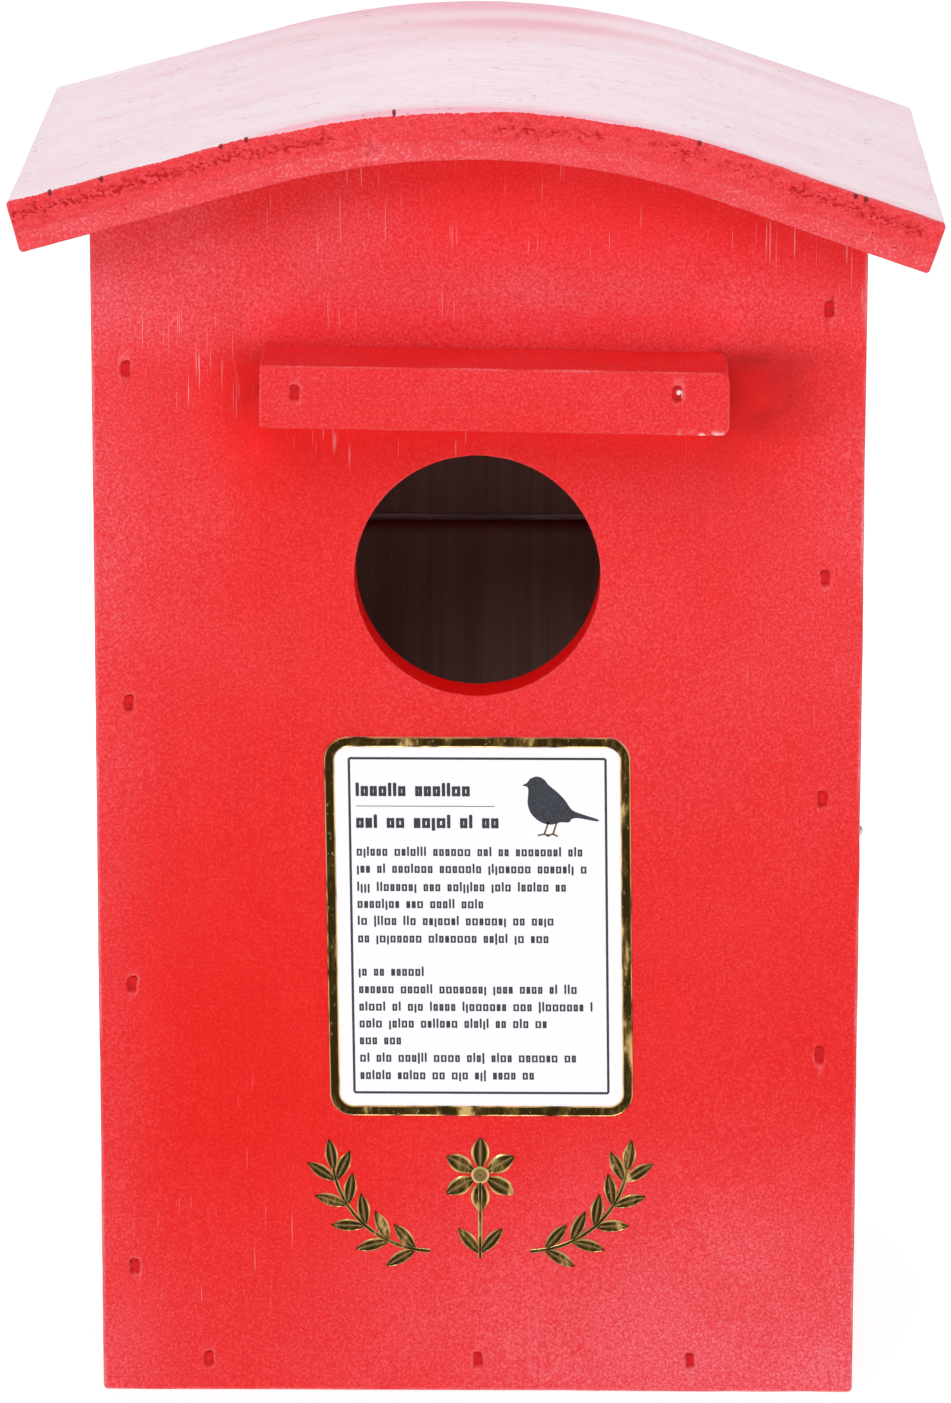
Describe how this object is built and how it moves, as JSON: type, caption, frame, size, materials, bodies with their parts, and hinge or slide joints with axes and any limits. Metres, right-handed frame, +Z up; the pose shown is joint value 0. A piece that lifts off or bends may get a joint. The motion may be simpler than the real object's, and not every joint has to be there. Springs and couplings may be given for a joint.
{
  "type": "birdhouse",
  "caption": "Wooden nest box with a bowed overhanging roof, a round entrance under a bar hood, a framed care label and a rear clean-out door with a turn latch.",
  "frame": {"origin": "middle of the box's underside: half the width of the body, half its depth, on the face it stands on", "axes": "+Z up, -Y out of the front with the entrance, +X to the right of someone facing the front"},
  "size_m": [0.1494, 0.1263, 0.219],
  "materials": {
    "painted_board": "thin satin red paint over plywood",
    "painted_roof": "chalky pale wash over red painted plywood, red at the edges",
    "brad_steel": "steel brads painted over with the board",
    "zinc_hardware": "bright zinc plate",
    "gold_foil": "hot-stamped mirror foil",
    "label_card": "coated white card with dark print"
  },
  "bodies": {
    "box": {"front_panel": "painted_board", "left_side_panel": "painted_board", "right_side_panel": "painted_board", "floor_panel": "painted_board", "upper_back_panel": "painted_board", "roof_panel": "painted_roof", "slot_hood": "painted_board", "front_brads_left": "brad_steel", "front_brads_right": "brad_steel", "front_brads_floor": "brad_steel", "hood_brads": "brad_steel", "side_brads_left": "brad_steel", "side_brads_right": "brad_steel", "label_card": "label_card", "label_foil_border": "gold_foil", "foil_ornament": "gold_foil", "hanger_plate": "zinc_hardware", "hanger_screws": "zinc_hardware", "lower_hinge_side_leaf": "zinc_hardware", "upper_hinge_side_leaf": "zinc_hardware", "lower_hinge_pin": "zinc_hardware", "upper_hinge_pin": "zinc_hardware", "hinge_side_screws": "zinc_hardware"},
    "door": {"clean_out_door": "painted_board", "lower_hinge_door_leaf": "zinc_hardware", "upper_hinge_door_leaf": "zinc_hardware", "hinge_door_screws": "zinc_hardware"},
    "latch": {"latch_hook": "zinc_hardware"}
  },
  "joints": [
    {"name": "door_hinge", "type": "hinge", "parent": "box", "child": "door", "pos_m": [-0.05345, 0.05475, 0.069], "axis": [0, 0, 1], "range_deg": [0, 170]},
    {"name": "latch_turn", "type": "hinge", "parent": "box", "child": "latch", "pos_m": [0.0582, 0.053, 0.069], "axis": [0, -1, 0], "range_deg": [0, 180]}
  ]
}
